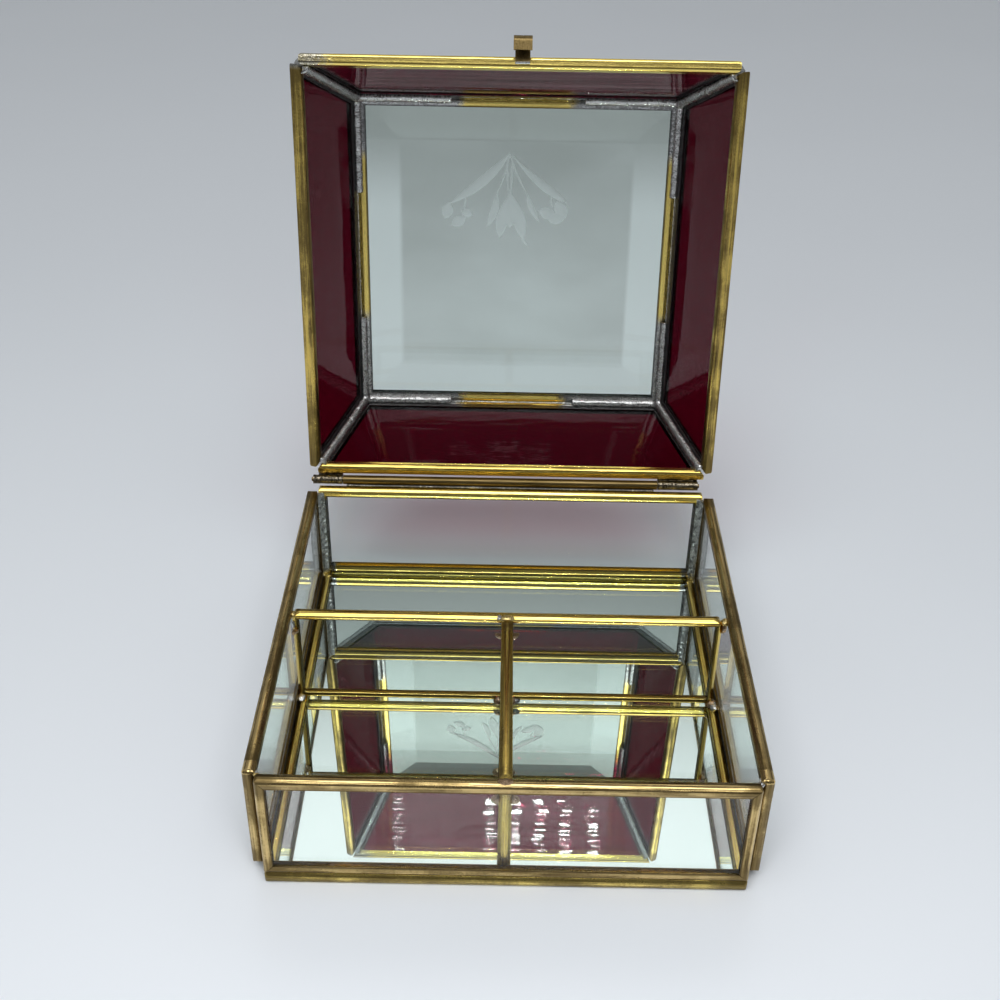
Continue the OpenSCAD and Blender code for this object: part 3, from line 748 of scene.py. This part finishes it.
# Drops of solder at the joints, placed in millimetres from the rails that they hold
RAIL_TOP = RIM_Z / MM
CROSS_TOP = CROSS_HIGH.z / MM
CROSS_MID = (CROSS_LOW.y + CROSS_HIGH.y) / 2 / MM
FLOOR_TOP = MIRROR_HIGH.z / MM
SIDE = INSIDE_X / MM
FRONT_MID = (-CASE_Y + CHANNEL_T / 2) / MM
MIDDLE_X = (MIDDLE_LOW.x + MIDDLE_HIGH.x) / 2 / MM
DROPS = {
    "drop_on_cross_rail": ((MIDDLE_X, CROSS_MID - 1.2, CROSS_TOP - 0.5), (2.6, 1.5, 0.9), gold_solder),
    "drop_beside_rail": ((MIDDLE_X - 2.6, CROSS_MID - 0.8, CROSS_TOP - 0.4), (1.2, 1.2, 0.55),
                         bright_solder),
    "drop_at_cross_right": ((SIDE - 0.6, CROSS_MID - 0.4, CROSS_TOP - 1.2), (1.5, 1.6, 1.2), gold_solder),
    "drop_at_cross_left": ((-SIDE + 0.4, CROSS_MID - 0.4, CROSS_TOP - 1.3), (1.4, 1.6, 1.2), gold_solder),
    "drop_under_cross_left": ((-SIDE + 0.5, CROSS_MID - 1.9, CROSS_TOP - 4.2), (0.6, 0.6, 1.5),
                              bright_solder),
    "drop_at_right_foot": ((SIDE - 1.0, CROSS_MID - 3.0, FLOOR_TOP + 1.1), (1.7, 3.0, 1.3), bright_solder),
    "drop_at_left_foot": ((-SIDE + 0.9, CROSS_MID - 2.2, FLOOR_TOP + 0.9), (1.7, 2.2, 1.1), bright_solder),
    "drop_at_middle_foot": ((MIDDLE_X + 3.4, CROSS_MID - 2.4, FLOOR_TOP + 1.1), (1.7, 1.2, 1.0),
                            dark_solder),
    "stain_on_front_rail": ((MIDDLE_X, FRONT_MID, RAIL_TOP - 0.02), (2.3, 1.3, 0.16), bronze_stain_and_shade),
    "drop_at_front_right": ((SIDE - 0.4, FRONT_MID + 1.5, RAIL_TOP - 0.9), (1.2, 0.8, 0.7), bright_solder),
    "drop_at_front_left": ((-SIDE + 0.6, FRONT_MID + 1.7, RAIL_TOP - 0.8), (1.0, 0.6, 0.6), gold_solder),
}

mirror_pane()
bevelled_pane()
for seed, (seam, (finish, grain, lift, lump, body)) in enumerate(SEAMS.items(), 1):
    hand_run(seam, finish, grain * MM, lift * MM, lump * MM, body, seed)
for name, (place, half, finish) in DROPS.items():
    drop(name, place, half, finish)


# --- floor, light and camera ---------------------------------------------------------------------

TABLE_SIZE = 6.0
TABLE_GAP = 0.2 * MM
LENS = 47.48
SENSOR = 36
CAMERA_PLACE = Vector((-3.66, -338.46, 317.77)) * MM
CAMERA_YAW, CAMERA_DIP, CAMERA_ROLL = (math.radians(angle) for angle in (-0.033, 34.129, -1.044))

# A row of small far lamps that show as streaks in the ruby glass: how far each lies to the right of
# straight in front of the box, in degrees, and its power
SPOTS = [(-11, 0.8), (-0.6, 2), (2.2, 3), (5.0, 3), (7.9, 3), (11.0, 3)]
SPOT_RISE = math.radians(65.3)
SPOT_FAR = 8
SPOT_SIZE = (0.06, 0.22)


def floor():
    """A plain pale table, just clear of the box's underside."""
    bm = bmesh.new()
    bmesh.ops.create_grid(bm, x_segments=1, y_segments=1, size=TABLE_SIZE / 2)
    mesh = mesh_of("table", bm)
    mesh.transform(Matrix.Translation((0, 0, -TABLE_GAP)))
    table = bpy.data.objects.new("table", mesh)
    bpy.context.scene.collection.objects.link(table)
    p = paint("pale_table")
    cloud = p.noise(p.place(), 0.25, 2, 0.5)
    shade = p.blend(cloud, (0.74, 0.77, 0.81), (0.78, 0.81, 0.85))
    coat(table, p.finish({"Base Color": shade, "Roughness": 0.30, "Specular IOR Level": 0.5}))


def sky():
    """A pale room, bright high up in front and behind, and dimmer overhead and low down."""
    world = bpy.data.worlds.new("room")
    bpy.context.scene.world = world
    p = Paint(world)
    x, y, z = p.parts(p.node("TexCoord", out=0))
    side = x.size()
    glow_behind = y.step(0.2, 0.5) * z.step(0.60, 0.75) * z.step(0.90, 0.82) * side.step(0.60, 0.30) * 0.64
    window_in_front = y.step(0.02, -0.18) * z.step(0.76, 0.84) * side.step(0.62, 0.30) * 1.7
    overhead = z.step(0.80, 0.90) * y.step(-0.15, 0.05) * 0.16
    low_front = y.step(0.1, -0.5) * z.step(0.85, 0.75) * 0.18
    low_behind = y.step(0.3, 0.8) * z.step(0.45, 0.25) * 0.22
    level = 0.30 + glow_behind + window_in_front - low_front - low_behind - overhead
    light = p.node("VectorMath", {"operation": "SCALE"}, {0: (0.97, 0.99, 1.0), 3: level})
    room = p.node("Background", values={0: light, 1: 1.0})
    p.node("OutputWorld", values={0: room})


def lamp(name, place, aim, size, power, seen=False):
    """A flat lamp at place that points at aim; seen says whether glass and metal show it."""
    data = bpy.data.lights.new(name, "AREA")
    data.shape = "RECTANGLE"
    data.size, data.size_y = size
    data.energy = power
    light = bpy.data.objects.new(name, data)
    light.location = place
    light.rotation_euler = (Vector(aim) - Vector(place)).to_track_quat("-Z", "Y").to_euler()
    light.visible_glossy = seen
    light.visible_transmission = seen
    bpy.context.scene.collection.objects.link(light)


def spot(number, turn, power):
    """One lamp of the far row."""
    bearing = math.radians(180 - turn)
    flat = math.cos(SPOT_RISE)
    towards = Vector((math.sin(bearing) * flat, math.cos(bearing) * flat, math.sin(SPOT_RISE)))
    lamp("spot_%d" % number, towards * SPOT_FAR, (0, 0, 0), SPOT_SIZE, power, seen=True)


def camera():
    """A camera well above the open lid's top, looking down at the box."""
    flat = math.cos(CAMERA_DIP)
    ahead = Vector((math.sin(CAMERA_YAW) * flat, math.cos(CAMERA_YAW) * flat, -math.sin(CAMERA_DIP)))
    level = Vector((math.cos(CAMERA_YAW), -math.sin(CAMERA_YAW), 0))
    down = ahead.cross(level)
    right = math.cos(CAMERA_ROLL) * level + math.sin(CAMERA_ROLL) * down
    up = math.sin(CAMERA_ROLL) * level - math.cos(CAMERA_ROLL) * down
    data = bpy.data.cameras.new("camera")
    data.lens = LENS
    data.sensor_width = SENSOR
    data.clip_start = 0.01
    view = bpy.data.objects.new("camera", data)
    turn = Matrix((right, up, -ahead)).transposed()
    view.matrix_world = Matrix.Translation(CAMERA_PLACE) @ turn.to_4x4()
    bpy.context.scene.collection.objects.link(view)
    bpy.context.scene.camera = view


camera()
floor()
sky()
lamp("near_panel", (-0.02, -0.36, 0.46), (-0.01, -0.20, 0), (0.35, 0.20), 1.1)
lamp("high_panel", (-0.2, -0.3, 1.6), (0, 0, 0), (0.9, 0.9), 2.8)
for number, (turn, power) in enumerate(SPOTS, 1):
    spot(number, turn, power)

scene = bpy.context.scene
scene.view_settings.view_transform = "Standard"
scene.view_settings.look = "Medium High Contrast"
scene.cycles.max_bounces = 24
scene.cycles.transmission_bounces = 24
scene.cycles.glossy_bounces = 16
scene.cycles.transparent_max_bounces = 24
scene.cycles.caustics_refractive = False
scene.cycles.sample_clamp_indirect = 60
